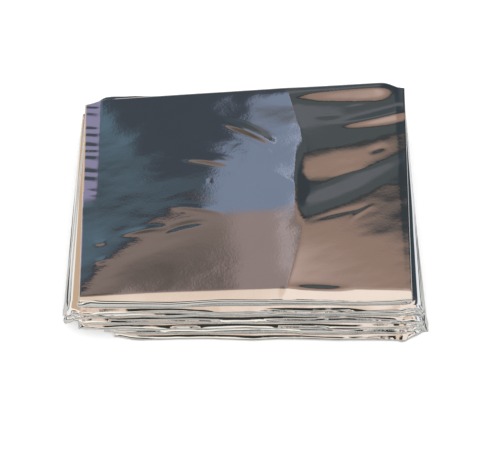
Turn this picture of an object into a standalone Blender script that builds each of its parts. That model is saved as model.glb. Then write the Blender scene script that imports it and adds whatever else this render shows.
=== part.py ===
"""Emergency foil blanket, folded flat as it comes out of its pack.

The blanket is one sheet of metallised film, 2.1 m by 1.4 m. It is pleated lengthwise into a strip
of sixteen plies, 131 mm wide, and the strip is then folded back and forth into fourteen passes of
about 100 mm. Here the strip is one layer of even thickness, so the solid is the true
back-and-forth section of the packet, with every fold where it lies and the passes a little apart.

X runs across the packet, to the right. Y runs from the front folds to the rear ones. Z is up.
The origin is the middle of the packet's box, on the surface that it lies on.
"""

import math
from collections import namedtuple

import bmesh
import bpy

MM = 0.001

# The strip and its passes. Pass 1 is the top one, and the last pass lies on the surface.
STRIP_THICK = 1.0 * MM
PASS_PITCH = 1.3 * MM

# The packet bulges in the middle and stands a little higher at its right rear corner.
CROWN_RISE = 1.4 * MM
HALF_WIDTH = 72 * MM
HALF_DEPTH = 56 * MM
CORNER_RISE = 1.0 * MM

# The upper passes overhang the lower ones at the left front corner, and droop there.
DROOP = 2.0 * MM
DROOP_LAST_PASS = 10
DROOP_REACH = 17 * MM
LEDGE_FRONT_X = -56.5 * MM
LEDGE_REAR_X = -68 * MM

# The fold lines wander a little along the packet's width, and the folds' ends are crushed
# back over this much of the width.
WANDER = 0.5 * MM
WANDER_LENGTH = 74 * MM
WANDER_SHIFT = 2.4
CRUSH_REACH = 9 * MM

# The mesh: steps across the strip, along a pass, along the top pass and round a fold. The steps
# across are closer at the ends by this share.
ACROSS = 16
CLOSER_ENDS = 0.45
ALONG_PASS = 4
ALONG_TOP = 12
ROUND_FOLD = 5

# Where the strip turns, in mm, from its free end on top to its free end beneath. Each row gives
# how far back (+) or forward (-) the turn reaches at its left and right ends, where those ends
# are across the packet, how far each end is crushed back, and how much the two passes that the
# turn joins stand apart beyond their pitch, at the left and at the right.
Turn = namedtuple("Turn", "name reach_l reach_r left right crush_l crush_r slack_l slack_r")
TURNS = (
    Turn("top free end", 46.8, 56.9, -66.0, 65.6, 1.5, 3.0, 0.0, 0.0),
    Turn("front 1", -49.8, -47.5, -65.1, 65.3, 0.5, 0.5, 0.9, 0.6),
    Turn("rear 1", 51.2, 55.2, -66.3, 65.4, 5.5, 2.0, 0.0, 0.1),
    Turn("front 2", -50.9, -49.8, -70.0, 69.6, 1.5, 1.0, 0.5, 0.0),
    Turn("rear 2", 52.2, 55.0, -66.1, 65.8, 5.0, 1.0, 0.1, 0.0),
    Turn("front 3", -52.6, -51.5, -72.2, 70.4, 3.5, 1.0, 0.0, 0.3),
    Turn("rear 3", 52.6, 54.6, -67.6, 65.4, 6.0, 1.5, 0.0, 0.0),
    Turn("front 4", -53.6, -52.7, -71.8, 69.4, 3.0, 0.5, 0.2, 0.0),
    Turn("rear 4", 52.0, 54.8, -66.6, 66.0, 4.5, 2.0, 0.0, 0.1),
    Turn("front 5", -54.8, -53.9, -66.0, 70.6, 1.5, 1.5, 0.0, 0.0),
    Turn("rear 5", 53.2, 54.0, -67.2, 65.6, 5.5, 1.0, 0.1, 0.0),
    Turn("front 6", -55.4, -55.0, -56.0, 72.2, 1.0, 2.5, 0.0, 0.2),
    Turn("rear 6", 52.7, 54.8, -66.0, 65.0, 5.0, 1.5, 0.0, 0.0),
    Turn("front 7", -56.2, -56.0, -52.0, 71.4, 1.5, 4.5, 0.1, 0.2),
    Turn("bottom free end", 50.8, 52.2, -66.0, 65.0, 3.0, 1.0, 0.0, 0.0),
)
PASSES = len(TURNS) - 1

# The main creases of the top pass, in mm: a soft ridge (+) or trough (-) from one point to
# another, with its half width and its height.
Crease = namedtuple("Crease", "name x1 y1 x2 y2 half_width rise")
CREASES = (
    Crease("middle crease", 17, 50, 25, 6, 7, 0.5),
    Crease("dent beside it", 29, 41, 33, 14, 7, -0.35),
    Crease("fold to the left", 25, 3, 2, 17, 6, 0.35),
    Crease("fold to the right", 19, -2, 60, 38, 6, -0.45),
    Crease("ridge above it", 36, 14, 63, 46, 6, 0.4),
    Crease("left rib", -60, 43, -59, -47, 4, 0.25),
    Crease("front roll", -40, -42, 50, -42, 7, -0.3),
)


def smooth(value):
    """0 below 0, 1 above 1 and an even rise between them."""
    held = min(max(value, 0.0), 1.0)
    return held * held * (3 - 2 * held)


def mix(a, b, share):
    return a + (b - a) * share


def crease_height(x, y):
    """What the creases add to the top pass at the point x, y."""
    total = 0.0
    for crease in CREASES:
        run_x, run_y = crease.x2 - crease.x1, crease.y2 - crease.y1
        off_x, off_y = x / MM - crease.x1, y / MM - crease.y1
        along = (off_x * run_x + off_y * run_y) / (run_x**2 + run_y**2)
        held = min(max(along, 0.0), 1.0)
        gap = math.hypot(off_x - held * run_x, off_y - held * run_y)
        total += crease.rise * MM * (1 - smooth(gap / (2 * crease.half_width)))
    return total


def pass_height(number, x, y, share):
    """Height of the middle of a pass over the point x, y, at this share of the strip's width."""
    height = STRIP_THICK / 2
    for turn in TURNS[number:PASSES]:
        height += PASS_PITCH + mix(turn.slack_l, turn.slack_r, share) * MM
    lift = (PASSES - number) / (PASSES - 1)
    crown = max(0.0, 1 - (x / HALF_WIDTH) ** 2) * max(0.0, 1 - (y / HALF_DEPTH) ** 2)
    corner = smooth(x / HALF_WIDTH) * smooth(y / HALF_DEPTH)
    height += lift * (CROWN_RISE * crown + CORNER_RISE * corner)
    if number <= DROOP_LAST_PASS:
        backward = min(max((y / HALF_DEPTH + 1) / 2, 0.0), 1.0)
        ledge = mix(LEDGE_FRONT_X, LEDGE_REAR_X, backward)
        height -= DROOP * smooth((ledge - x) / DROOP_REACH)
    if number == 1:
        height += crease_height(x, y)
    return height


def side_of(index):
    """1 for a turn at the rear and -1 for one at the front."""
    return 1 if TURNS[index].reach_l > 0 else -1


def across(turn, share):
    """Place across the packet of the point at this share of a turn's width, from its left end."""
    return mix(turn.left, turn.right, share) * MM


def reach(index, share):
    """How far back or forward the strip's middle goes at a turn, at this share of its width."""
    turn = TURNS[index]
    x = across(turn, share)
    wander = WANDER * math.sin(math.pi * share) * math.sin(
        x / WANDER_LENGTH * math.tau + WANDER_SHIFT * index
    )
    crush_l = turn.crush_l * MM * (1 - smooth((x - turn.left * MM) / CRUSH_REACH))
    crush_r = turn.crush_r * MM * (1 - smooth((turn.right * MM - x) / CRUSH_REACH))
    free_end = index in (0, PASSES)
    inward = crush_l + crush_r + (0 if free_end else abs(wander) + STRIP_THICK / 2)
    return mix(turn.reach_l, turn.reach_r, share) * MM - side_of(index) * inward


def fold_radius(index, share):
    """Half the height between the two passes that a turn joins; a free end joins none."""
    if index in (0, PASSES):
        return 0.0
    x, y = across(TURNS[index], share), reach(index, share)
    return (pass_height(index, x, y, share) - pass_height(index + 1, x, y, share)) / 2


def point_on_pass(number, along, share):
    """Point of pass number (1 is the top one), at a share of its length and of its width."""
    first, last = number - 1, number
    x = mix(across(TURNS[first], share), across(TURNS[last], share), along)
    ends = [
        reach(index, share) - side_of(index) * fold_radius(index, share)
        for index in (first, last)
    ]
    y = mix(ends[0], ends[1], along)
    return x, y, pass_height(number, x, y, share)


def point_on_fold(index, turned, share):
    """Point of the half round that joins pass index to the next one down."""
    x, y, upper = point_on_pass(index, 1.0, share)
    lower = point_on_pass(index + 1, 0.0, share)[2]
    angle = math.pi * turned
    middle, radius = (upper + lower) / 2, (upper - lower) / 2
    return x, y + side_of(index) * radius * math.sin(angle), middle + radius * math.cos(angle)


def stations():
    """The mesh's rows along the strip: the function that places a row, and its first values."""
    rows = []
    for number in range(1, PASSES + 1):
        steps = ALONG_TOP if number == 1 else ALONG_PASS
        rows += [(point_on_pass, number, step / steps) for step in range(steps + 1)]
        if number < PASSES:
            rows += [(point_on_fold, number, step / ROUND_FOLD) for step in range(1, ROUND_FOLD)]
    return rows


def clear_scene():
    for found in list(bpy.data.objects):
        bpy.data.objects.remove(found)


def foil_material():
    material = bpy.data.materials.new("metallised film")
    material.use_nodes = True
    shader = material.node_tree.nodes["Principled BSDF"]
    shader.inputs["Base Color"].default_value = (0.82, 0.83, 0.85, 1)
    shader.inputs["Metallic"].default_value = 1.0
    shader.inputs["Roughness"].default_value = 0.08
    return material


def folded_blanket(collection):
    """A flat grid bent along the strip's path, then given the strip's thickness."""
    rows = stations()
    grid = bmesh.new()
    bmesh.ops.create_grid(grid, x_segments=ACROSS, y_segments=len(rows) - 1, size=0.5)
    for vertex in grid.verts:
        even = vertex.co.x + 0.5
        share = mix(even, (1 - math.cos(math.pi * even)) / 2, CLOSER_ENDS)
        place, number, part = rows[round((vertex.co.y + 0.5) * (len(rows) - 1))]
        vertex.co = place(number, part, share)
    mesh = bpy.data.meshes.new("foil_blanket")
    grid.to_mesh(mesh)
    grid.free()
    mesh.shade_smooth()
    mesh.materials.append(foil_material())
    blanket = bpy.data.objects.new("foil_blanket", mesh)
    collection.objects.link(blanket)
    solidify = blanket.modifiers.new("strip thickness", "SOLIDIFY")
    solidify.thickness = STRIP_THICK
    solidify.offset = 0
    solidify.use_even_offset = True
    solidify.use_quality_normals = True
    return blanket


clear_scene()
parts = bpy.data.collections.new("folded emergency foil blanket")
bpy.context.scene.collection.children.link(parts)
folded_blanket(parts)
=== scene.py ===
"""Emergency foil blanket, folded flat, seen from above its front folds."""

import math
from collections import namedtuple

import bpy
import numpy as np
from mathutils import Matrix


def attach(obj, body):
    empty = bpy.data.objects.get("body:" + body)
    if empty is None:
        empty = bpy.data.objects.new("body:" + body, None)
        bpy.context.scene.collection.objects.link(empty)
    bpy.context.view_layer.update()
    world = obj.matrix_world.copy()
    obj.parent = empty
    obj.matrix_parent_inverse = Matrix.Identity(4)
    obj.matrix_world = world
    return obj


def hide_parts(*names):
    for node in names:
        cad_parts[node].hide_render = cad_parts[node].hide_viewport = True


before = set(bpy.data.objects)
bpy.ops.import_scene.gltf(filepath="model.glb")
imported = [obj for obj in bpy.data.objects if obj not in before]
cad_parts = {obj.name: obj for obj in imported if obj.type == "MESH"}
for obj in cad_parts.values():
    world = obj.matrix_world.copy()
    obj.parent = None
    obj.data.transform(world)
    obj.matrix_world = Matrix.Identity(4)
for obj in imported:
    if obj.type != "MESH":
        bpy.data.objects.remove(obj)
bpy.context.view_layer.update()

# The camera looks down on the packet from in front of its fold lines, a metre away, with a long
# lens, so that its sides converge only a little.
camera_data = bpy.data.cameras.new("camera")
camera_data.sensor_width = 36.0
camera_data.lens = 178.6
camera_data.clip_start = 0.05
camera = bpy.data.objects.new("camera", camera_data)
bpy.context.scene.collection.objects.link(camera)
camera_tilt = math.radians(58)
camera_aim = (0.00175, -0.0105, 0.014)
camera.location = (
    camera_aim[0],
    camera_aim[1] - math.cos(camera_tilt),
    camera_aim[2] + math.sin(camera_tilt),
)
camera.rotation_euler = (math.pi / 2 - camera_tilt, 0, 0)
bpy.context.scene.camera = camera

# The strip: the film pleated lengthwise into plies and folded back and forth into fourteen passes.
# Three of its sixteen plies are made, as one sheet that turns back at the packet's sides.
# Nothing holds it but its creases, so the passes fan out and their ends are crushed.
MM = 0.001
STRIP_WIDE = 131.0
PASS_PITCH = 1.3
STRIP_THICK = 1.0
CROWN_RISE = 1.4
HALF_WIDTH = 72.0
HALF_DEPTH = 56.0
CORNER_RISE = 1.0
DROOP = 2.0
DROOP_LAST_PASS = 10
DROOP_REACH = 17.0
LEDGE_FRONT_X = -56.5
LEDGE_REAR_X = -68.0
CRUSH_REACH = 9.0
SIDE_ROLL = 2.0
SIDE_FALL = 0.13
FOLD_SWAY = 1.0
# how far each front fold is drawn back, mm: below 0 it is pushed out
DRAWN_BACK = {1: -1.0, 3: -1.7, 5: 0.9, 7: 0.3, 9: 0.1, 11: 0.7, 13: 0.1}
# height of the strip's three plies over its middle, mm
PLY_LIFTS = (0.42, 0.02, -0.38)
FILM_THICK = 0.07
LOWEST_FILM = 0.05

Turn = namedtuple("Turn", "name reach_l reach_r left right crush_l crush_r slack_l slack_r")
TURNS = (
    Turn("top free end", 46.8, 56.9, -66.0, 65.6, 1.5, 3.0, 0.0, 0.0),
    Turn("front 1", -49.8, -47.5, -65.1, 65.3, 0.5, 0.5, 0.9, 0.6),
    Turn("rear 1", 51.2, 55.2, -66.3, 65.4, 5.5, 2.0, 0.0, 0.1),
    Turn("front 2", -50.9, -49.8, -70.0, 69.6, 1.5, 1.0, 0.5, 0.0),
    Turn("rear 2", 52.2, 55.0, -66.1, 65.8, 5.0, 1.0, 0.1, 0.0),
    Turn("front 3", -52.6, -51.5, -72.2, 70.4, 3.5, 1.0, 0.0, 0.3),
    Turn("rear 3", 52.6, 54.6, -67.6, 65.4, 6.0, 1.5, 0.0, 0.0),
    Turn("front 4", -53.6, -52.7, -71.8, 69.4, 3.0, 0.5, 0.2, 0.0),
    Turn("rear 4", 52.0, 54.8, -66.6, 66.0, 4.5, 2.0, 0.0, 0.1),
    Turn("front 5", -54.8, -53.9, -66.0, 70.6, 1.5, 1.5, 0.0, 0.0),
    Turn("rear 5", 53.2, 54.0, -67.2, 65.6, 5.5, 1.0, 0.1, 0.0),
    Turn("front 6", -55.4, -55.0, -56.0, 72.2, 1.0, 2.5, 0.0, 0.2),
    Turn("rear 6", 52.7, 54.8, -66.0, 65.0, 5.0, 1.5, 0.0, 0.0),
    Turn("front 7", -56.2, -56.0, -52.0, 71.4, 1.5, 4.5, 0.1, 0.2),
    Turn("bottom free end", 50.8, 52.2, -66.0, 65.0, 3.0, 1.0, 0.0, 0.0),
)
PASSES = len(TURNS) - 1

# The marks that handling left in the top pass are creases pressed into the film: ridges (+) and
# troughs (-) between two points, mm, with a half width at both ends, a rise in hundredths of a
# millimetre, and a bow, how far the middle of the line swings to the left of its first end.
Mark = namedtuple("Mark", "name kind x1 y1 x2 y2 bow wide_1 wide_2 rise")
MARKS = (
    Mark("middle crease", "bend", 13.5, 60, 25.0, -3, 4.2, 24, 24, -118),
    Mark("right edge", "bend", 61.5, 62, 62.5, -4, 0, 3, 3, -22),
    Mark("rear edge roll", "fan", 64, 55.0, -9, 48.9, 0, 4.2, 4.4, 60),
    Mark("upper pleat", "fan", 72, 44.5, 28, 33.5, 1.5, 3.2, 1.4, 32),
    Mark("long dent", "dent", 20, 1.5, 76, 29, -1.5, 14, 4, -60),
    Mark("eye in the dent", "lens", 33, 7.6, 50, 14, 0.5, 1.5, 1.5, -5),
    Mark("second eye", "lens", 49, 21, 58, 25, 0, 1.3, 1.3, -5),
    Mark("slanting crease", "crease", 25, 3, 2, 16, 0, 4, 3, 4),
    Mark("small eye", "lens", 27, 38.6, 40, 39.8, 0, 1.3, 1.3, 5),
    Mark("smaller eye", "lens", 40, 43, 52, 45.5, 0, 1.0, 1.0, 4),
    Mark("rear wrinkle", "lens", -14, 37, 12, 24, 1.5, 1.6, 2.6, 20),
    Mark("rear wrinkle's edge", "lens", -10, 33, 14, 20, 1.5, 1.5, 1.5, -7),
    Mark("middle wrinkle", "lens", -27, 17.5, -3, 14, 1.0, 1.3, 2.2, 12),
    Mark("left wrinkle", "lens", -52, -20, -30, -15.5, 1.0, 1.0, 1.3, 6),
    Mark("left wrinkle's trough", "lens", -35, -19, -14, -13, 1.5, 1.1, 1.3, -6),
    Mark("short wrinkle", "lens", -31, -6, -8, -9, 1.0, 1.2, 1.4, 5),
    Mark("right wrinkle", "lens", 24, -13.5, 52, -5, 1.0, 0.9, 1.0, -3),
    Mark("scratch", "lens", 41, -13, 53, -3.5, 1.0, 0.7, 0.7, 4),
    Mark("left pinch", "lens", -61, -23.5, -55, -22, 0, 0.9, 0.9, 4),
    Mark("front left pinch", "lens", -60, -32, -54, -30, 0, 0.9, 0.9, 5),
    Mark("dot", "lens", -15.3, 6.5, -13.7, 6.8, 0, 0.6, 0.6, -4),
    Mark("front swell", "lens", 13, -44.8, 44, -45.4, 0, 2.8, 2.0, 36),
)
# an edge that is blunt by this much has no sharp line, mm2
BLUNT = 0.09
DENT_STEEPER = 0.6

# The film is uneven all over, more along a slanting line than across it: each size of unevenness
# has its depth, length and width in mm, and a seed. It is calmest about the calm spot.
SLANT = 0.35
Uneven = namedtuple("Uneven", "depth length width seed")
UNEVEN = (
    Uneven(0.08, 22, 13, 3),
    Uneven(0.021, 9, 4.5, 5),
    Uneven(0.006, 4.2, 1.9, 8),
    Uneven(0.0012, 1.7, 0.9, 9),
)
CALM_SHARE = 0.85
REAR_FALL = 0.0045

# broad places where trapped air lifts the pass: middle, half sizes and rise, mm
Swell = namedtuple("Swell", "name x y half_x half_y rise")
CALM_SPOT = Swell("calm spot", -2, -14, 24, 32, 0)
SWELLS = (
    Swell("left swell", -50, -28, 30, 14, 0.24),
    Swell("inner left swell", -27, -11, 20, 9, 0.08),
    Swell("front left corner", -67, -53, 27, 24, 1.15),
)

# the narrow band at the left falls away from its rib and is rippled
BAND_EDGE = -59.8
BAND_FALL = 0.13
RIPPLE_PITCH = 4.3
RIPPLE_RISE = 0.034


def smooth(value):
    held = np.clip(value, 0.0, 1.0)
    return held * held * (3 - 2 * held)


def mix(a, b, share):
    return a + (b - a) * share


def chance(i, j, seed):
    value = np.sin(i * 127.1 + j * 311.7 + seed * 74.7) * 43758.5453
    return value - np.floor(value)


def unevenness(x, y, seed):
    """Smooth noise between -0.5 and 0.5, a unit apart."""
    i, j = np.floor(x), np.floor(y)
    fx, fy = x - i, y - j
    u = fx**3 * (fx * (6 * fx - 15) + 10)
    v = fy**3 * (fy * (6 * fy - 15) + 10)
    low = mix(chance(i, j, seed), chance(i + 1, j, seed), u)
    high = mix(chance(i, j + 1, seed), chance(i + 1, j + 1, seed), u)
    return mix(low, high, v) - 0.5


def near(spot, x, y):
    """1 at the middle of a broad spot, falling softly to 0 around it."""
    return np.exp(-(((x - spot.x) / spot.half_x) ** 2) - ((y - spot.y) / spot.half_y) ** 2)


def mark_height(x, y):
    """What handling adds to the top pass, mm."""
    p = x * math.cos(SLANT) + y * math.sin(SLANT)
    q = y * math.cos(SLANT) - x * math.sin(SLANT)
    height = 0 * x
    for uneven in UNEVEN:
        height += uneven.depth * unevenness(p / uneven.length, q / uneven.width, uneven.seed)
    height *= 1 - CALM_SHARE * near(CALM_SPOT, x, y)
    height -= REAR_FALL * y * (x + HALF_WIDTH) / HALF_WIDTH
    for swell in SWELLS:
        height += swell.rise * near(swell, x, y)
    # a lens fades out at both ends, a fan or dent only at its second, a dent is steeper on its
    # right, and past a bend the film falls away
    for mark in MARKS:
        run_x, run_y = mark.x2 - mark.x1, mark.y2 - mark.y1
        length = math.hypot(run_x, run_y)
        along = ((x - mark.x1) * run_x + (y - mark.y1) * run_y) / length**2
        share = np.clip(along, 0, 1)
        aside = ((y - mark.y1) * run_x - (x - mark.x1) * run_y) / length
        aside = aside - mark.bow * 4 * along * (1 - along)
        wide = mix(mark.wide_1, mark.wide_2, share)
        if mark.kind == "lens":
            profile = np.exp(-((aside / wide) ** 2)) * np.sin(math.pi * share) ** 1.2
        elif mark.kind in ("fan", "dent"):
            fade_in = 6 if mark.kind == "dent" else 11
            faded = smooth((x - mark.x1) * math.copysign(1, run_x) / fade_in)
            faded = faded * smooth((1 - share) / 0.8)
            wide = np.where((aside < 0) & (mark.kind == "dent"), DENT_STEEPER * wide, wide)
            profile = np.exp(-((aside / wide) ** 2)) * faded
        elif mark.kind == "bend":
            beyond = np.sqrt(aside**2 + BLUNT) + aside
            profile = (1 - np.exp(-beyond / 2 / wide)) * np.exp(-beyond / 300)
        else:
            gap = np.hypot(x - mark.x1 - share * run_x, y - mark.y1 - share * run_y)
            blunt = np.sqrt(gap**2 + BLUNT) - math.sqrt(BLUNT)
            profile = np.clip(1 - blunt / (2 * wide), 0, 1) ** 2
        height += mark.rise / 100 * profile
    rearward = smooth((y + 6) / 12)
    height -= BAND_FALL * np.clip(BAND_EDGE - x, 0, 9) * (0.15 + 0.85 * rearward)
    wave = (y + 0.9 * np.sin(y / 3.9) + 0.7 * np.sin(y / 1.7)) * math.tau / RIPPLE_PITCH
    strong = smooth((-59.4 - x) / 2.5) * smooth((x + 67.5) / 3) * rearward
    height += RIPPLE_RISE * strong * np.sin(wave + 0.3 * x)
    return height


def roll_slope(index, x):
    """How steeply a pass ends where it bends down into its front fold."""
    if index == 1:
        return 0.551 + 0 * x
    return 0.38 + 0.045 * index + 0.45 * unevenness(x / 28, 0.7 * index, index + 90)


def roll_length(index, x):
    """How far behind its front fold a pass starts to bend down, mm."""
    return 3.2 - 0.12 * index + 1.8 * unevenness(x / 33, 1.9 * index, index + 70)


def front_roll(index, x, y, edge):
    """How far a pass has bent down over its last millimetres, mm."""
    if index == 1:
        length = np.interp(x, (-66, -40, 20, 66), (3.5, 5.0, 6.5, 5.5))
        over = np.clip((edge + length - y) / length, 0, 1.4)
        last = np.clip((edge + 1.5 - y) / 1.5, 0, 1.6)
        return 0.154 * length * over**1.5 + 0.24 * last**2
    length = roll_length(index, x)
    over = np.clip((edge + length - y) / length, 0, 1.4)
    return roll_slope(index, x) / 1.5 * length * over**1.5


def pass_height(number, x, y, share):
    height = STRIP_THICK / 2 + 0 * x
    for turn in TURNS[number:PASSES]:
        height = height + PASS_PITCH + mix(turn.slack_l, turn.slack_r, share)
    lift = (PASSES - number) / (PASSES - 1)
    crown = np.clip(1 - (x / HALF_WIDTH) ** 2, 0, 1) * np.clip(1 - (y / HALF_DEPTH) ** 2, 0, 1)
    rightward = np.clip((x / HALF_WIDTH + 1) / 2, 0, 1)
    backward = np.clip((y / HALF_DEPTH + 1) / 2, 0, 1)
    corner = rightward * backward**2
    height = height + lift * (CROWN_RISE * crown + CORNER_RISE * corner)
    if 1 < number <= DROOP_LAST_PASS:
        ledge = mix(LEDGE_FRONT_X, LEDGE_REAR_X, backward)
        height = height - DROOP * smooth((ledge - x) / DROOP_REACH)
    if number > 1:
        from_left = x - across_left(number, share)
        from_right = across_right(number, share) - x
        rolled = SIDE_ROLL - np.minimum(from_left, from_right)
        height = height - SIDE_FALL * np.clip(rolled, 0, 3 * SIDE_ROLL) ** 2
    if number == 1:
        height = height + mark_height(x, y)
        height = height - front_roll(1, x, y, np.interp(x, (-65, 65), (-50.8, -48.5)))
    elif side_of(number) < 0:
        height = height - front_roll(number, x, y, reach(number, share))
    return height


def across_left(number, share):
    return (TURNS[number - 1].left + TURNS[number].left) / 2 + 0 * share


def across_right(number, share):
    return (TURNS[number - 1].right + TURNS[number].right) / 2 + 0 * share


def side_of(index):
    return 1 if TURNS[index].reach_l > 0 else -1


def across(index, share):
    return mix(TURNS[index].left, TURNS[index].right, share)


def reach(index, share):
    turn = TURNS[index]
    x = across(index, share)
    ends = np.sin(math.pi * np.clip(share, 0, 1))
    wander = 0.5 * ends * np.sin(x / 74 * math.tau + 2.4 * index)
    wander = np.abs(wander) + 0.5 * (unevenness(x / 15, 3.7 * index, index) + 0.5) * (index > 0)
    wander = wander + 0.12 * unevenness(x / 4.5, 9.1 * index, index + 20)
    if index in DRAWN_BACK:
        wander = wander + DRAWN_BACK[index] + FOLD_SWAY * unevenness(x / 36, 0.5, index + 80)
    crush_l = turn.crush_l * (1 - smooth((x - turn.left) / CRUSH_REACH))
    crush_r = turn.crush_r * (1 - smooth((turn.right - x) / CRUSH_REACH))
    free_end = index in (0, PASSES)
    inward = crush_l + crush_r + (0 if free_end else wander + STRIP_THICK / 2)
    return mix(turn.reach_l, turn.reach_r, share) - side_of(index) * inward


def roll_tilt(index, share):
    slope = roll_slope(index, across(index, share)) if side_of(index) < 0 else 0 * share
    return np.arctan(slope)


def fold_radius(index, share):
    if index in (0, PASSES):
        return 0.0 * share
    x, y = across(index, share), reach(index, share)
    gap = pass_height(index, x, y, share) - pass_height(index + 1, x, y, share)
    return np.maximum(gap, 0.1) / (1 + np.cos(roll_tilt(index, share)))


def point_on_pass(number, along, share):
    x = mix(across(number - 1, share), across(number, share), along)
    ends = [
        reach(index, share)
        - side_of(index) * fold_radius(index, share) * (1 - np.sin(roll_tilt(index, share)))
        for index in (number - 1, number)
    ]
    y = mix(ends[0], ends[1], along)
    return np.stack([x, y, pass_height(number, x, y, share)], -1)


def creasing(index, turned, x):
    """How far the creases along a fold push it out (+) or in (-), mm."""
    long = unevenness(x / 24, 1.6 * turned + 5.1 * index, index + 40)
    short = unevenness(x / 7, 4.0 * turned + 3.3 * index, index + 60)
    strength = 0.5 if index == 1 else 1.0
    return strength * (0.40 * long + 0.06 * short) * math.sin(math.pi * turned)


def point_on_fold(index, turned, share):
    upper = point_on_pass(index, 1.0, share)
    lower = point_on_pass(index + 1, 0.0, share)[..., 2]
    tilt = roll_tilt(index, share)
    angle = tilt + (math.pi - tilt) * turned
    radius = (upper[..., 2] - lower) / (1 + np.cos(tilt))
    y = upper[..., 1] + side_of(index) * radius * (np.sin(angle) - np.sin(tilt))
    z = lower + radius * (1 + np.cos(angle))
    pushed = creasing(index, turned, upper[..., 0])
    y = y + side_of(index) * pushed * np.sin(angle)
    return np.stack([upper[..., 0], y, z + pushed * np.cos(angle)], -1)


def film_points(rows, shares, lifts):
    """Places of the film: a grid of rows along the strip by columns across its plies."""
    middle = np.array([place(number, part, shares) for place, number, part in rows])
    right = np.array([place(number, part, shares + 0.004) for place, number, part in rows])
    sideways = right - middle
    ahead = np.gradient(middle, axis=0)
    normal = np.cross(ahead, sideways)
    normal /= np.linalg.norm(normal, axis=-1, keepdims=True)
    return middle + normal * lifts[..., None]


def film_piece(name, points, crush):
    """A mesh of the grid of points, in millimetres, with how crushed the film is at each."""
    rows, columns = points.shape[:2]
    index = np.arange(rows * columns).reshape(rows, columns)
    corners = [index[:-1, :-1], index[1:, :-1], index[1:, 1:], index[:-1, 1:]]
    faces = np.stack([corner.ravel() for corner in corners], -1)
    mesh = bpy.data.meshes.new(name)
    mesh.from_pydata((points.reshape(-1, 3) * MM).tolist(), [], faces.tolist())
    mesh.attributes.new("crush", "FLOAT", "POINT").data.foreach_set("value", crush.ravel())
    mesh.shade_smooth()
    piece = bpy.data.objects.new(name, mesh)
    bpy.context.scene.collection.objects.link(piece)
    return piece


def spaced(steps):
    """Distances from a fold line as shares of a pass of 100 mm."""
    return [step / 100 for step in steps]


FROM_FRONT = spaced((0, 0.8, 2, 5, 50, 97, 100))
strip_rows = []
for number in range(1, PASSES + 1):
    to_front = side_of(number) < 0
    stops = [1 - stop for stop in reversed(FROM_FRONT)] if to_front else FROM_FRONT
    if number == 1:
        stops = sorted(stops + [step / 16 for step in range(1, 16)])
    strip_rows += [(point_on_pass, number, stop) for stop in stops]
    if number < PASSES:
        turns = 14 if to_front else 5
        strip_rows += [(point_on_fold, number, step / turns) for step in range(1, turns)]

# columns across a ply: close together where its ends are crushed, and closest on the outer ply
END_STEPS = (0, 0.6, 0.6, 0.6, 0.7, 0.7, 0.8, 0.9, 1.0, 1.1, 1.3, 1.5, 1.8, 2.1, 2.5)
PLY_COLUMNS = (84, 10, 26)
end_steps = np.cumsum(END_STEPS) / STRIP_WIDE
shares, lifts = [], []
for ply, lift in enumerate(PLY_LIFTS):
    middle_steps = np.linspace(end_steps[-1], 1 - end_steps[-1], PLY_COLUMNS[ply])[1:-1]
    run = np.concatenate([end_steps, middle_steps, 1 - end_steps[::-1]])
    run = run if ply % 2 == 0 else run[::-1]
    shares.append(run)
    lifts.append(np.full(run.shape, lift))
    if ply + 1 < len(PLY_LIFTS):
        outward = 1 if ply % 2 == 0 else -1
        half = (lift - PLY_LIFTS[ply + 1]) / 2
        for turned in (0.25, 0.5, 0.75):
            bulge = outward * half * math.sin(math.pi * turned) / STRIP_WIDE
            shares.append(np.array([run[-1] + bulge]))
            lifts.append(np.array([lift - half + half * math.cos(math.pi * turned)]))
shares, lifts = np.concatenate(shares), np.concatenate(lifts)


def pressed_together(place, number, part):
    """1 where a hard front fold presses the plies together, 0 well behind it."""
    if place is point_on_fold:
        return 1.0 if side_of(number) < 0 else 0.0
    behind = 100 * (1 - part if side_of(number) < 0 else part)
    return 1 - smooth((behind - 1) / 5)


pressed = np.array([pressed_together(*row) for row in strip_rows])[:, None]
row_lifts = mix(lifts, PLY_LIFTS[0] - 0.12 * (PLY_LIFTS[0] - lifts), pressed)
strip_points = film_points(strip_rows, shares, row_lifts)
strip_points[..., 2] = np.maximum(strip_points[..., 2], LOWEST_FILM)
under_top = np.array(
    [number == 1 and place is point_on_pass for place, number, part in strip_rows]
)
inside = np.minimum(62 - np.abs(strip_points[..., 0]), 45 - np.abs(strip_points[..., 1] - 2))
# under the top ply the strip sinks a little, so that the two never touch
TOP_GAP = 0.3
strip_points[..., 2] -= TOP_GAP * smooth(inside / 6) * under_top[:, None]
to_end = np.minimum(strip_points[..., 0] + 66, 66 - strip_points[..., 0])
to_front_edge = strip_points[..., 1] + 52
corner_crush = 1 - smooth(to_end / 9)
front_crush = 1 - smooth(to_front_edge / 8)
rear_crush = 1 - smooth((53 - strip_points[..., 1]) / 5)
strip_crush = 0.02 + front_crush * (0.02 + 0.9 * corner_crush) + 0.15 * rear_crush
strip = film_piece("folded_strip", strip_points, strip_crush)

# Crinkles of the film, as a tree that moves the points of a sheet where it has been crushed and
# lays the film's material on it. No point goes below the surface that the packet lies on.
crinkle = bpy.data.node_groups.new("film crinkles", "GeometryNodeTree")
for name, kind in (
    ("Sheet", "NodeSocketGeometry"),
    ("Depth", "NodeSocketFloat"),
    ("Length", "NodeSocketFloat"),
    ("Seed", "NodeSocketFloat"),
    ("Film", "NodeSocketMaterial"),
):
    crinkle.interface.new_socket(name, in_out="INPUT", socket_type=kind)
crinkle.interface.new_socket("Sheet", in_out="OUTPUT", socket_type="NodeSocketGeometry")


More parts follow.
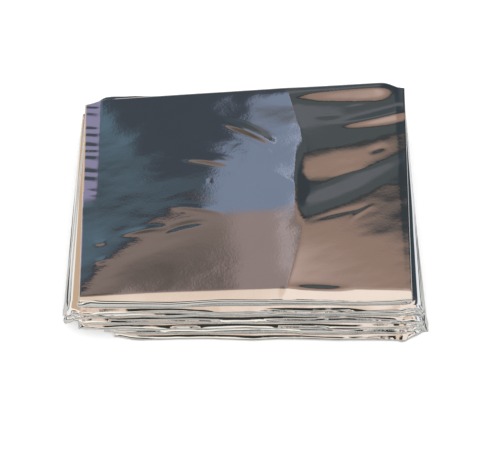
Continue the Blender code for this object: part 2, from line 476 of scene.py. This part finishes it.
def wire(tree, kind, settings=None, inputs=None):
    """A node of a tree, with its settings and the values or links of its inputs."""
    node = tree.nodes.new(kind)
    for key, value in (settings or {}).items():
        setattr(node, key, value)
    for key, value in (inputs or {}).items():
        if isinstance(value, bpy.types.NodeSocket):
            tree.links.new(value, node.inputs[key])
        else:
            node.inputs[key].default_value = value
    return node


given = wire(crinkle, "NodeGroupInput").outputs
place = wire(crinkle, "GeometryNodeInputPosition").outputs[0]
crushed = wire(
    crinkle, "GeometryNodeInputNamedAttribute", {"data_type": "FLOAT"}, {"Name": "crush"}
).outputs["Attribute"]
flattened = wire(
    crinkle, "ShaderNodeVectorMath", {"operation": "MULTIPLY"}, {0: place, 1: (0.45, 1, 0.8)}
).outputs[0]
per_length = wire(crinkle, "ShaderNodeMath", {"operation": "DIVIDE"}, {0: 1.0, 1: given["Length"]})
facets = wire(
    crinkle,
    "ShaderNodeTexVoronoi",
    {"voronoi_dimensions": "4D", "feature": "F1"},
    {"Vector": flattened, "W": given["Seed"], "Scale": per_length.outputs[0], "Randomness": 1.0},
)
waves = wire(
    crinkle,
    "ShaderNodeTexNoise",
    {"noise_dimensions": "4D"},
    {"Vector": flattened, "W": given["Seed"], "Scale": per_length.outputs[0], "Detail": 2.0},
)
swing = wire(
    crinkle,
    "ShaderNodeVectorMath",
    {"operation": "SUBTRACT"},
    {0: waves.outputs["Color"], 1: (0.5, 0.5, 0.5)},
).outputs[0]
peak = wire(
    crinkle, "ShaderNodeMath", {"operation": "SUBTRACT"}, {0: facets.outputs["Distance"], 1: 0.45}
).outputs[0]
facing = wire(crinkle, "GeometryNodeInputNormal").outputs[0]
pushed = wire(
    crinkle, "ShaderNodeVectorMath", {"operation": "SCALE"}, {0: facing, "Scale": peak}
).outputs[0]
both = wire(
    crinkle, "ShaderNodeVectorMath", {"operation": "ADD"}, {0: swing, 1: pushed}
).outputs[0]
strength = wire(
    crinkle, "ShaderNodeMath", {"operation": "MULTIPLY"}, {0: crushed, 1: given["Depth"]}
).outputs[0]
offset = wire(
    crinkle, "ShaderNodeVectorMath", {"operation": "SCALE"}, {0: both, "Scale": strength}
).outputs[0]
moved = wire(
    crinkle, "ShaderNodeVectorMath", {"operation": "ADD"}, {0: place, 1: offset}
).outputs[0]
split = wire(crinkle, "ShaderNodeSeparateXYZ", None, {0: moved}).outputs
held_up = wire(
    crinkle, "ShaderNodeMath", {"operation": "MAXIMUM"}, {0: split[2], 1: LOWEST_FILM * MM}
).outputs[0]
joined = wire(
    crinkle, "ShaderNodeCombineXYZ", None, {0: split[0], 1: split[1], 2: held_up}
).outputs[0]
shaped = wire(
    crinkle, "GeometryNodeSetPosition", None, {"Geometry": given["Sheet"], "Position": joined}
).outputs[0]
laid = wire(
    crinkle, "GeometryNodeSetMaterial", None, {"Geometry": shaped, "Material": given["Film"]}
).outputs[0]
real = wire(crinkle, "GeometryNodeRealizeInstances", None, {"Geometry": laid}).outputs[0]
wire(crinkle, "NodeGroupOutput", None, {0: real})

# The film's finish is bright vapour-coated aluminium on clear polyester: a mirror with a faint
# haze, fine scuffs and a cast that shifts a little from place to place.
finish_group = bpy.data.node_groups.new("film finish", "ShaderNodeTree")
for name, kind in (
    ("Scuff Size", "NodeSocketFloat"),
    ("Haze", "NodeSocketFloat"),
    ("Bright", "NodeSocketColor"),
    ("Dull", "NodeSocketColor"),
):
    finish_group.interface.new_socket(name, in_out="INPUT", socket_type=kind)
for name, kind in (
    ("Color", "NodeSocketColor"),
    ("Roughness", "NodeSocketFloat"),
    ("Height", "NodeSocketFloat"),
):
    finish_group.interface.new_socket(name, in_out="OUTPUT", socket_type=kind)
asked = wire(finish_group, "NodeGroupInput").outputs
spot = wire(finish_group, "ShaderNodeTexCoord").outputs["Object"]
cloud = wire(
    finish_group, "ShaderNodeTexNoise", None, {"Vector": spot, "Scale": 60.0, "Detail": 3.0}
).outputs[0]
scuffs = wire(
    finish_group,
    "ShaderNodeTexNoise",
    None,
    {"Vector": spot, "Scale": asked["Scuff Size"], "Detail": 4.0, "Roughness": 0.6},
).outputs[0]
tone = wire(
    finish_group,
    "ShaderNodeMix",
    {"data_type": "RGBA"},
    {0: cloud, 6: asked["Bright"], 7: asked["Dull"]},
).outputs[2]
haze = wire(
    finish_group,
    "ShaderNodeMath",
    {"operation": "MULTIPLY"},
    {0: scuffs, 1: asked["Haze"]},
).outputs[0]
wire(finish_group, "NodeGroupOutput", None, {0: tone, 1: haze, 2: scuffs})

film = bpy.data.materials.new("metallised film")
film.use_nodes = True
shader = film.node_tree.nodes["Principled BSDF"]
shader.inputs["Metallic"].default_value = 1.0
given = wire(film.node_tree, "ShaderNodeGroup", {"node_tree": finish_group}, {
    "Scuff Size": 900.0,
    "Haze": 0.05,
    "Bright": (0.90, 0.91, 0.92, 1),
    "Dull": (0.84, 0.845, 0.85, 1),
}).outputs
scuffed = wire(
    film.node_tree,
    "ShaderNodeBump",
    None,
    {"Strength": 0.05, "Distance": 0.0001, "Height": given["Height"]},
).outputs[0]
film.node_tree.links.new(given["Color"], shader.inputs["Base Color"])
film.node_tree.links.new(given["Roughness"], shader.inputs["Roughness"])
film.node_tree.links.new(scuffed, shader.inputs["Normal"])


def crinkled(sheet, depth, length, seed):
    """The sheet with the film's thickness, crinkles and material, as a plain mesh."""
    thick = sheet.modifiers.new("film thickness", "SOLIDIFY")
    thick.thickness = FILM_THICK * MM
    thick.offset = 0
    bend = sheet.modifiers.new("film crinkles", "NODES")
    bend.node_group = crinkle
    sizes = {"Depth": depth * MM, "Length": length * MM, "Seed": seed, "Film": film}
    for socket in crinkle.interface.items_tree:
        if socket.in_out == "INPUT" and socket.name in sizes:
            bend[socket.identifier] = sizes[socket.name]
    seen = sheet.evaluated_get(bpy.context.evaluated_depsgraph_get())
    mesh = bpy.data.meshes.new_from_object(seen)
    sheet.modifiers.clear()
    sheet.data = mesh
    mesh.shade_smooth()
    return sheet


crinkled(strip, 2.3, 2.6, 4.0)
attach(strip, "root")
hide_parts("foil_blanket")

# The outermost ply of the strip: the one that shows from above. It has the marks that handling
# left, rolls over the first front fold and turns down at its side folds.
TOP_LIFT = 0.62
EDGE_TURN = 0.35
TOP_STEPS = 176
TOP_COLUMNS = 232
top_rows = [(point_on_pass, 1, step / TOP_STEPS) for step in range(TOP_STEPS + 1)]
top_rows += [(point_on_fold, 1, step / 14) for step in range(1, 15)]
top_rows += [(point_on_pass, 2, step / TOP_STEPS) for step in (1, 3, 6)]
flat_shares = np.linspace(0, 1, TOP_COLUMNS)
turn_angles = np.linspace(0, math.pi / 2, 5)[1:]
turn_out = EDGE_TURN * np.sin(turn_angles) / STRIP_WIDE
turn_down = EDGE_TURN * (1 - np.cos(turn_angles))
top_shares = np.concatenate([-turn_out[::-1], flat_shares, 1 + turn_out])
top_lifts = TOP_LIFT - np.concatenate([turn_down[::-1], 0 * flat_shares, turn_down])
top_points = film_points(top_rows, top_shares, top_lifts)
uncrushed = np.zeros(top_points.shape[:2])
top = film_piece("top_ply", top_points, uncrushed)
crinkled(top, 0.25, 3.0, 2.0)
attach(top, "root")

# The floor is a pale plain sheet under the packet, which lights the folds from below. In the
# film's reflections it is painted darker than it looks, a painted shade like the shaded floor under
# a fold.
floor_mesh = bpy.data.meshes.new("floor")
floor_mesh.from_pydata(
    [(-3, -3, 0), (3, -3, 0), (3, 3, 0), (-3, 3, 0)], [], [(0, 1, 2, 3)]
)
floor = bpy.data.objects.new("floor", floor_mesh)
bpy.context.scene.collection.objects.link(floor)
pale = bpy.data.materials.new("pale floor")
pale.use_nodes = True
pale_shader = pale.node_tree.nodes["Principled BSDF"]
pale_shader.inputs["Roughness"].default_value = 0.9
pale_shader.inputs["Specular IOR Level"].default_value = 0.0
pale_shader.inputs["Emission Color"].default_value = (1, 1, 1, 1)
floor_rays = wire(pale.node_tree, "ShaderNodeLightPath").outputs
camera_ray = floor_rays["Is Camera Ray"]
# painted shade: rays mirrored by the film see the floor a darker warm grey than the camera does
floor_colour_with_painted_shade = wire(
    pale.node_tree,
    "ShaderNodeMix",
    {"data_type": "RGBA"},
    {0: floor_rays["Is Glossy Ray"], 6: (0.95, 0.95, 0.95, 1), 7: (0.60, 0.58, 0.54, 1)},
).outputs[2]
pale.node_tree.links.new(floor_colour_with_painted_shade, pale_shader.inputs["Base Color"])
glow = wire(pale.node_tree, "ShaderNodeMath", {"operation": "MULTIPLY"}, {0: camera_ray, 1: 0.23})
glow = wire(pale.node_tree, "ShaderNodeMath", {"operation": "ADD"}, {0: glow.outputs[0], 1: 0.12})
pale.node_tree.links.new(glow.outputs[0], pale_shader.inputs["Emission Strength"])
floor_mesh.materials.append(pale)

# The studio is what the film mirrors: soft areas of colour, whose places and colours were set
# against the photograph, and which only reflections show. All else is lit by an even pale grey.
# Each is placed by how far a ray runs sideways and back as it rises.
Area = namedtuple("Area", "name x y half_x half_y soft colour")
AREAS = (
    Area("backdrop glow", -0.125, 0.74, 0.09, 0.06, 0.12, "566b78"),
    Area("backdrop shade", -0.03, 0.74, 0.04, 0.05, 0.07, "3c4046"),
    Area("right backdrop", 0.33, 0.90, 0.27, 0.255, 0.06, "4a4f50"),
    Area("far right backdrop", 0.62, 0.90, 0.46, 0.255, 0.06, "374148"),
    Area("lilac card", -0.44, 0.995, 0.19, 0.30, 0.12, "88839f"),
    Area("warm board", 0.12, 0.40, 0.30, 0.239, 0.010, "7b6c66"),
    Area("light board", 0.24, 0.40, 0.18, 0.238, 0.012, "8f776b"),
    Area("left board", -0.46, 0.335, 0.20, 0.235, 0.02, "c2a891"),
    Area("dark board", -0.060, 0.52, 0.050, 0.046, 0.10, "4d4844"),
    Area("card's rim", 0.0475, 0.71, 0.0045, 0.088, 0.004, "a9b1c6"),
    Area("cool card", 0.008, 0.71, 0.0375, 0.088, 0.008, "747f93"),
    Area("shade beside it", -0.036, 0.83, 0.028, 0.10, 0.014, "3e444c"),
    Area("foot of that shade", -0.060, 0.75, 0.036, 0.07, 0.014, "3e444c"),
    Area("narrow board", 0.0175, 0.39, 0.0255, 0.232, 0.008, "8c7c79"),
    Area("narrow board's edge", 0.038, 0.39, 0.005, 0.230, 0.010, "a69896"),
    Area("warm light", 0.16, 0.40, 0.08, 0.13, 0.12, "b39b91"),
    Area("backdrop light", 0.11, 0.83, 0.10, 0.06, 0.06, "5d5f63"),
    Area("gap at the right", 0.25, 0.650, 0.18, 0.010, 0.008, "2d3032"),
    Area("dusk at the right", 0.22, 0.632, 0.12, 0.012, 0.05, "565250"),
    Area("side shade", 0.42, 0.91, 0.21, 0.27, 0.05, "363b3f"),
    Area("gap at the left", -0.09, 0.643, 0.05, 0.006, 0.008, "33343a"),
    Area("cream cover", 0.0, -0.27, 0.9, 0.64, 0.10, "dac3b0"),
    Area("pale cover", 0.47, -0.27, 0.45, 0.64, 0.10, "eddccf"),
    Area("grey gap", 0.25, -0.72, 0.3, 0.09, 0.08, "94857f"),
    Area("dark gap", -0.005, -0.60, 0.085, 0.30, 0.04, "33332f"),
    Area("white cover", 0.0, -1.4, 6, 0.50, 0.25, "f7f1e6"),
    Area("grey front", 0.0, -2.2, 6, 0.3, 0.3, "857e73"),
    Area("left light", -3.4, 0.0, 2.7, 3.0, 0.15, "efeae4"),
    Area("right light", 3.6, 0.0, 2.3, 3.0, 0.3, "e8e8ea"),
    Area("left cover", -1.25, 0.1, 0.75, 0.95, 0.1, "c2a68c"),
    Area("dark front", 0.0, -26, 60, 23.5, 0.4, "39393d"),
)
BACKDROP = "424a51"


def linear(code):
    """Scene-linear red, green and blue of a six-figure colour."""
    parts = [int(code[i : i + 2], 16) / 255 for i in (0, 2, 4)]
    return tuple(p / 12.92 if p <= 0.04045 else ((p + 0.055) / 1.055) ** 2.4 for p in parts) + (1,)


world = bpy.data.worlds.new("studio")
world.use_nodes = True
bpy.context.scene.world = world
studio = world.node_tree
studio.nodes.clear()
ray = wire(studio, "ShaderNodeSeparateXYZ", None, {
    0: wire(studio, "ShaderNodeTexCoord").outputs["Generated"]
}).outputs
rise = wire(studio, "ShaderNodeMath", {"operation": "MAXIMUM"}, {0: ray[2], 1: 0.02}).outputs[0]
run = [
    wire(studio, "ShaderNodeMath", {"operation": "DIVIDE"}, {0: ray[axis], 1: rise}).outputs[0]
    for axis in (0, 1)
]


def within(axis, centre, half, soft):
    """1 inside a band of the studio and 0 outside it, with soft edges."""
    off = wire(studio, "ShaderNodeMath", {"operation": "SUBTRACT"}, {0: run[axis], 1: centre})
    far = wire(studio, "ShaderNodeMath", {"operation": "ABSOLUTE"}, {0: off.outputs[0]}).outputs[0]
    return wire(
        studio,
        "ShaderNodeMapRange",
        {"interpolation_type": "SMOOTHSTEP"},
        {0: far, 1: half - soft / 2, 2: half + soft / 2, 3: 1.0, 4: 0.0},
    ).outputs[0]


seen = wire(studio, "ShaderNodeRGB").outputs[0]
seen.default_value = linear(BACKDROP)
for area in AREAS:
    inside = wire(studio, "ShaderNodeMath", {"operation": "MULTIPLY"}, {
        0: within(0, area.x, area.half_x, area.soft),
        1: within(1, area.y, area.half_y, area.soft),
    }).outputs[0]
    seen = wire(
        studio, "ShaderNodeMix", {"data_type": "RGBA"}, {0: inside, 6: seen, 7: linear(area.colour)}
    ).outputs[2]
mirrored = wire(studio, "ShaderNodeBackground", None, {"Color": seen, "Strength": 1.15}).outputs[0]
around = wire(
    studio, "ShaderNodeBackground", None, {"Color": (0.97, 0.97, 0.97, 1), "Strength": 1.0}
).outputs[0]
glossy = wire(studio, "ShaderNodeLightPath").outputs["Is Glossy Ray"]
chosen = wire(studio, "ShaderNodeMixShader", None, {0: glossy, 1: around, 2: mirrored}).outputs[0]
wire(studio, "ShaderNodeOutputWorld", None, {0: chosen})

bpy.context.scene.view_settings.view_transform = "Standard"
